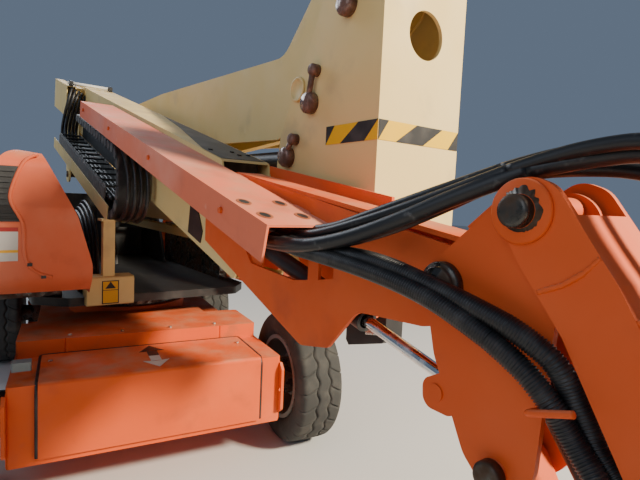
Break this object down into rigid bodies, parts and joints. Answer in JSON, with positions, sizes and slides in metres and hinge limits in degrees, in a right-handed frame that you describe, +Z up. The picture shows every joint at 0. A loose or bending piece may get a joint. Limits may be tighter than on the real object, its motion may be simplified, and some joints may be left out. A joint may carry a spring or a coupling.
{
  "type": "articulating boom lift",
  "caption": "Self-propelled work platform: wheeled chassis, slewing turntable, folded parallelogram tower, telescopic boom and a jib with a caged platform.",
  "frame": {"origin": "centre of the overall footprint, on the ground", "axes": "+X forwards towards the platform, +Y to the machine's left, +Z up"},
  "size_m": [6.19, 2.1794, 2.3081],
  "materials": {
    "orange_paint": "worn gloss orange paint",
    "cream_paint": "chalky cream paint",
    "chassis_grey": "dark grey paint",
    "hood_plastic": "moulded orange cover",
    "cast_metal": "painted castings",
    "pin_steel": "greased steel pins with surface rust",
    "floor_steel": "grey deck with a worn surface",
    "black_paint": "black cylinder paint",
    "rod_chrome": "polished rod",
    "dark_plastic": "black moulded plastic",
    "track_plastic": "black chain links",
    "tyre_rubber": "grey non-marking rubber"
  },
  "bodies": {
    "chassis": {"chassis_frame": "chassis_grey", "end_covers": "orange_paint", "drive_hubs": "cast_metal", "steer_axle": "chassis_grey", "slew_ring": "cast_metal"},
    "turntable": {"turntable_bed": "chassis_grey", "counterweight": "chassis_grey", "power_pack": "cast_metal", "hood_frames": "chassis_grey", "boom_rest": "cream_paint", "control_station": "dark_plastic"},
    "hood_right_body": {"hood_right": "hood_plastic"},
    "hood_left_body": {"hood_left": "hood_plastic"},
    "lower_riser_body": {"lower_riser": "cream_paint"},
    "lower_link_body": {"lower_link": "cream_paint"},
    "mast": {"mid_upright": "cream_paint", "mid_upright_pins": "pin_steel"},
    "upper_riser_body": {"upper_riser": "cream_paint"},
    "upper_link_body": {"upper_link": "cream_paint"},
    "rear_upright_body": {"rear_upright": "cream_paint", "rear_upright_pins": "pin_steel"},
    "main_boom": {"base_boom": "cream_paint", "wear_pads": "dark_plastic", "track_rail": "cream_paint", "power_track": "track_plastic"},
    "fly": {"fly_boom": "cream_paint", "fly_nose": "orange_paint", "hose_tray": "orange_paint"},
    "jib_base_body": {"jib_base": "orange_paint"},
    "jib_upper_body": {"jib_upper_arm": "orange_paint"},
    "jib_lower_body": {"jib_lower_arm": "orange_paint"},
    "support": {"platform_support": "orange_paint"},
    "platform": {"platform_bracket": "orange_paint", "platform_floor": "floor_steel", "platform_cage": "orange_paint", "control_box": "dark_plastic"},
    "gate": {"platform_gate": "orange_paint"},
    "knuckle_right": {"steering_knuckle_right": "cast_metal"},
    "knuckle_left": {"steering_knuckle_left": "cast_metal"},
    "wheel_front_right": {"tyre_front_right": "tyre_rubber", "rim_front_right": "orange_paint"},
    "wheel_front_left": {"tyre_front_left": "tyre_rubber", "rim_front_left": "orange_paint"},
    "wheel_rear_right": {"tyre_rear_right": "tyre_rubber", "rim_rear_right": "orange_paint"},
    "wheel_rear_left": {"tyre_rear_left": "tyre_rubber", "rim_rear_left": "orange_paint"},
    "tower_barrel": {"tower_cylinder_barrel": "black_paint"},
    "tower_rod": {"tower_cylinder_rod": "rod_chrome"},
    "lift_barrel": {"lift_cylinder_barrel": "black_paint"},
    "lift_rod": {"lift_cylinder_rod": "rod_chrome"},
    "level_barrel": {"level_cylinder_barrel": "black_paint"},
    "level_rod": {"level_cylinder_rod": "rod_chrome"},
    "jib_barrel": {"jib_cylinder_barrel": "black_paint"},
    "jib_rod": {"jib_cylinder_rod": "rod_chrome"}
  },
  "joints": [
    {"name": "steer_right", "type": "hinge", "parent": "chassis", "child": "knuckle_right", "pos_m": [-2.46849, -0.45301, 0.36], "axis": [0, 0, 1], "range_deg": [-32, 32]},
    {"name": "steer_left", "type": "hinge", "parent": "chassis", "child": "knuckle_left", "pos_m": [-2.30204, 0.73135, 0.36], "axis": [0, 0, 1], "range_deg": [-32, 32]},
    {"name": "wheel_spin_front_right", "type": "hinge", "parent": "chassis", "child": "wheel_front_right", "pos_m": [-0.51551, -0.92743, 0.36], "axis": [0.1392, 0.9903, 0], "continuous": true},
    {"name": "wheel_spin_front_left", "type": "hinge", "parent": "chassis", "child": "wheel_front_left", "pos_m": [-0.29395, 0.64908, 0.36], "axis": [0.1392, 0.9903, 0], "continuous": true},
    {"name": "wheel_spin_rear_right", "type": "hinge", "parent": "knuckle_right", "child": "wheel_rear_right", "pos_m": [-2.49605, -0.64908, 0.36], "axis": [0.1392, 0.9903, 0], "continuous": true},
    {"name": "wheel_spin_rear_left", "type": "hinge", "parent": "knuckle_left", "child": "wheel_rear_left", "pos_m": [-2.27449, 0.92743, 0.36], "axis": [0.1392, 0.9903, 0], "continuous": true},
    {"name": "slew", "type": "hinge", "parent": "chassis", "child": "turntable", "pos_m": [-1.395, 0, 0.7], "axis": [0, 0, 1], "range_deg": [-177.5, 177.5]},
    {"name": "hood_right_hinge", "type": "hinge", "parent": "turntable", "child": "hood_right_body", "pos_m": [-1.395, -0.582, 1.494], "axis": [-1, 0, 0], "range_deg": [0, 65]},
    {"name": "hood_left_hinge", "type": "hinge", "parent": "turntable", "child": "hood_left_body", "pos_m": [-1.395, 0.666, 1.494], "axis": [1, 0, 0], "range_deg": [0, 65]},
    {"name": "tower_lift", "type": "hinge", "parent": "turntable", "child": "lower_riser_body", "pos_m": [-2.545, 0.255, 1.29], "axis": [0, -1, 0], "range_deg": [0, 70]},
    {"name": "lower_link_pivot", "type": "hinge", "parent": "turntable", "child": "lower_link_body", "pos_m": [-2.435, 0.255, 1.12], "axis": [0, -1, 0], "range_deg": [0, 70]},
    {"name": "mast_level", "type": "hinge", "parent": "lower_riser_body", "child": "mast", "pos_m": [0.555, 0.255, 1.29], "axis": [0, 1, 0], "range_deg": [0, 70]},
    {"name": "upper_riser_pivot", "type": "hinge", "parent": "mast", "child": "upper_riser_body", "pos_m": [0.755, 0.255, 2.08], "axis": [0, 1, 0], "range_deg": [0, 70]},
    {"name": "upper_link_pivot", "type": "hinge", "parent": "mast", "child": "upper_link_body", "pos_m": [0.585, 0.255, 1.68], "axis": [0, 1, 0], "range_deg": [0, 70]},
    {"name": "rear_upright_level", "type": "hinge", "parent": "upper_riser_body", "child": "rear_upright_body", "pos_m": [-2.625, 0.255, 1.9], "axis": [0, -1, 0], "range_deg": [0, 70]},
    {"name": "boom_lift", "type": "hinge", "parent": "rear_upright_body", "child": "main_boom", "pos_m": [-2.845, -0.037, 2.122], "axis": [0, -1, 0], "range_deg": [0, 78]},
    {"name": "telescope", "type": "slide", "parent": "main_boom", "child": "fly", "axis": [0.9681, 0, -0.2504], "range_m": [0, 1.5]},
    {"name": "jib_base_level", "type": "hinge", "parent": "fly", "child": "jib_base_body", "pos_m": [1.401, -0.1, 1.21], "axis": [0, 1, 0], "range_deg": [0, 78]},
    {"name": "jib_lift", "type": "hinge", "parent": "jib_base_body", "child": "jib_upper_body", "pos_m": [1.555, -0.1, 1.35], "axis": [0, -1, 0], "range_deg": [0, 110]},
    {"name": "jib_lower_pivot", "type": "hinge", "parent": "jib_base_body", "child": "jib_lower_body", "pos_m": [1.53, -0.1, 0.92], "axis": [0, -1, 0], "range_deg": [0, 110]},
    {"name": "support_level", "type": "hinge", "parent": "jib_upper_body", "child": "support", "pos_m": [2.005, -0.1, 0.57058], "axis": [0, 1, 0], "range_deg": [0, 110]},
    {"name": "platform_rotate", "type": "hinge", "parent": "support", "child": "platform", "pos_m": [2.165, -0.1, 0.6], "axis": [0, 0, 1], "range_deg": [-90, 90]},
    {"name": "gate_hinge", "type": "hinge", "parent": "platform", "child": "gate", "pos_m": [2.3806, 0.799, 0.8], "axis": [0, 0, -1], "range_deg": [0, 70]},
    {"name": "tower_barrel_pivot", "type": "hinge", "parent": "mast", "child": "tower_barrel", "pos_m": [0.441, 0.191, 1.504], "axis": [0, 1, 0], "range_deg": [0, 67.73]},
    {"name": "tower_rod_slide", "type": "slide", "parent": "tower_barrel", "child": "tower_rod", "axis": [-0.9999, 0, 0.0144], "range_m": [0, 0.77295]},
    {"name": "lift_barrel_pivot", "type": "hinge", "parent": "rear_upright_body", "child": "lift_barrel", "pos_m": [-2.895, -0.037, 1.5], "axis": [0, -1, 0], "range_deg": [0, 52.78]},
    {"name": "lift_rod_slide", "type": "slide", "parent": "lift_barrel", "child": "lift_rod", "axis": [0.9863, 0, 0.1648], "range_m": [0, 0.64642]},
    {"name": "jib_barrel_pivot", "type": "hinge", "parent": "jib_base_body", "child": "jib_barrel", "pos_m": [1.513, -0.1, 1.15], "axis": [0, -1, 0], "range_deg": [0, 103.63]},
    {"name": "jib_rod_slide", "type": "slide", "parent": "jib_barrel", "child": "jib_rod", "axis": [0.5902, 0, -0.8073], "range_m": [0, 0.35835]},
    {"name": "level_barrel_pivot", "type": "hinge", "parent": "fly", "child": "level_barrel", "pos_m": [0.625, -0.104, 1.2], "axis": [0, -1, 0], "range_deg": [0, 8.45]},
    {"name": "level_rod_slide", "type": "slide", "parent": "level_barrel", "child": "level_rod", "axis": [0.9712, 0, -0.2381], "range_m": [-0.22392, 0]}
  ],
  "couplings": [
    {"joint": "steer_left", "follows": "steer_right", "ratio": 1},
    {"joint": "lower_link_pivot", "follows": "tower_lift", "ratio": 1},
    {"joint": "mast_level", "follows": "tower_lift", "ratio": 1},
    {"joint": "upper_riser_pivot", "follows": "tower_lift", "ratio": 1},
    {"joint": "upper_link_pivot", "follows": "tower_lift", "ratio": 1},
    {"joint": "rear_upright_level", "follows": "tower_lift", "ratio": 1},
    {"joint": "jib_base_level", "follows": "boom_lift", "ratio": 1},
    {"joint": "jib_lower_pivot", "follows": "jib_lift", "ratio": 1},
    {"joint": "support_level", "follows": "jib_lift", "ratio": 1},
    {"joint": "tower_barrel_pivot", "follows": "tower_lift", "ratio": 0.9676},
    {"joint": "tower_rod_slide", "follows": "tower_lift", "m_per_rad": 0.63259},
    {"joint": "lift_barrel_pivot", "follows": "boom_lift", "ratio": 0.6766},
    {"joint": "lift_rod_slide", "follows": "boom_lift", "m_per_rad": 0.47476},
    {"joint": "jib_barrel_pivot", "follows": "jib_lift", "ratio": 0.9421},
    {"joint": "jib_rod_slide", "follows": "jib_lift", "m_per_rad": 0.1866},
    {"joint": "level_barrel_pivot", "follows": "boom_lift", "ratio": 0.1083},
    {"joint": "level_rod_slide", "follows": "boom_lift", "m_per_rad": -0.16441}
  ]
}
